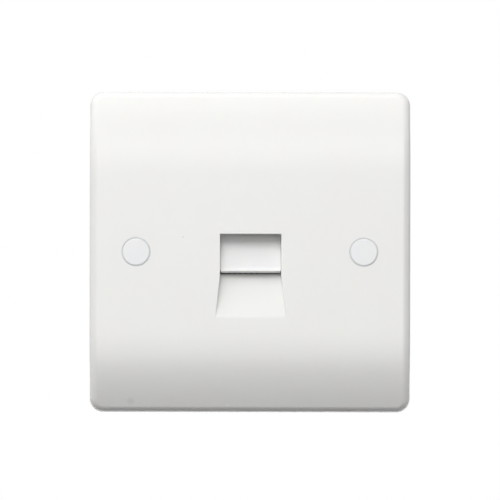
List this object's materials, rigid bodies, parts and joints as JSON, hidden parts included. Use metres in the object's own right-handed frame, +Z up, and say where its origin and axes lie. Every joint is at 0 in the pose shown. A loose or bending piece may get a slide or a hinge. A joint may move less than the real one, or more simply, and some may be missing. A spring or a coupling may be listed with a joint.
{
  "type": "telephone wall socket",
  "caption": "Flush telephone wall socket: square curved-face plate with capped fixings, a shuttered plug opening, and the jack and terminal board behind it.",
  "frame": {"origin": "on the wall plane, midway between the two fixing screws", "axes": "+Z up, +X to the right as the user sees it, +Y into the wall; the face looks along -Y"},
  "size_m": [0.086, 0.0317, 0.086],
  "materials": {
    "plate_moulding": "white thermoset moulding, glossy",
    "cap_moulding": "white moulding, glossy",
    "shutter_moulding": "white moulding, glossy",
    "jack_moulding": "white ABS moulding, satin",
    "block_moulding": "white polycarbonate moulding, satin",
    "plated_steel": "bright zinc plated",
    "spring_steel": "drawn wire, bright",
    "gilt_wire": "gold flash over spring wire",
    "tinned_bronze": "tin plated phosphor bronze",
    "board_laminate": "glass-epoxy laminate, green solder resist"
  },
  "bodies": {
    "socket": {"front_plate": "plate_moulding", "screw_cap_left": "cap_moulding", "screw_cap_right": "cap_moulding", "fixing_screw_left": "plated_steel", "fixing_screw_right": "plated_steel", "jack_housing": "jack_moulding", "contact_carrier": "jack_moulding", "contact_1": "gilt_wire", "contact_2": "gilt_wire", "contact_3": "gilt_wire", "contact_4": "gilt_wire", "contact_5": "gilt_wire", "contact_6": "gilt_wire", "shutter_pin": "spring_steel", "shutter_spring": "spring_steel", "circuit_board": "board_laminate", "board_screw_upper": "plated_steel", "board_screw_lower": "plated_steel", "terminal_block_left": "block_moulding", "terminal_block_right": "block_moulding", "terminal_blade_1": "tinned_bronze", "terminal_blade_2": "tinned_bronze", "terminal_blade_3": "tinned_bronze", "terminal_blade_4": "tinned_bronze", "terminal_blade_5": "tinned_bronze", "terminal_blade_6": "tinned_bronze"},
    "flap": {"shutter": "shutter_moulding"}
  },
  "joints": [
    {"name": "shutter_swing", "type": "hinge", "parent": "socket", "child": "flap", "pos_m": [0, -0.0042, 0.0072], "axis": [1, 0, 0], "range_deg": [0, 76], "stiffness_Nm_per_rad": 0.0005, "springref_deg": -34.38, "deforming": ["shutter_spring"]}
  ]
}
